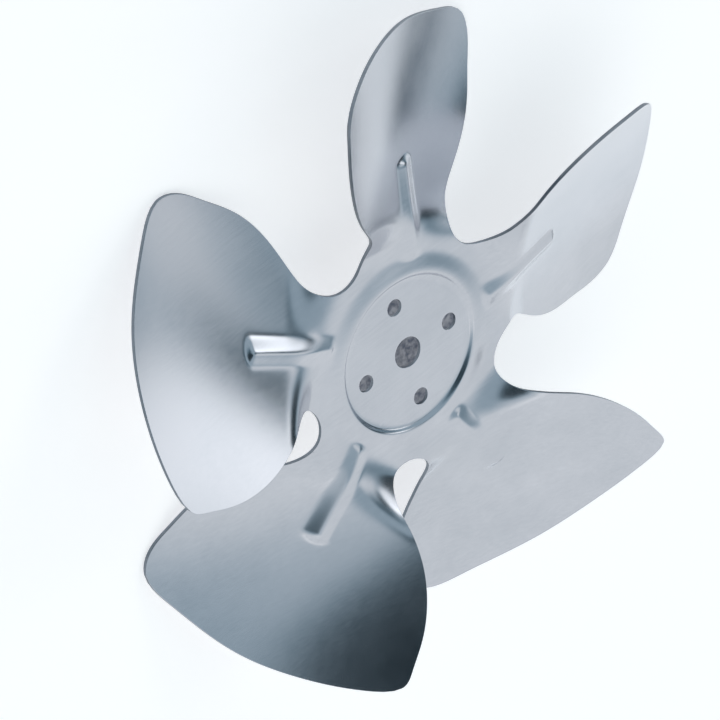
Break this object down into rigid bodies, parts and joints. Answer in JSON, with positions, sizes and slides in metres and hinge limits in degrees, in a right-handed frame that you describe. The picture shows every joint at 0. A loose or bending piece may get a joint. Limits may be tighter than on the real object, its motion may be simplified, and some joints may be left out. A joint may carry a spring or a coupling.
{
  "type": "axial fan impeller",
  "caption": "Pressed sheet aluminium axial fan impeller with broad pitched blades, a stiffening bead on each blade root and a flat bolted hub.",
  "frame": {"origin": "on the axis of rotation, at the mouth of the centre bore in the upper face of the hub seat", "axes": "+Z is the axis of rotation and points to the side that the beads stand up on; +X passes through one of the four screw holes, along one blade"},
  "size_m": [0.1677, 0.1699, 0.0363],
  "materials": {
    "impeller": "satin mill-finish rolled aluminium sheet"
  },
  "bodies": {
    "root": {"impeller": "impeller"}
  },
  "joints": []
}
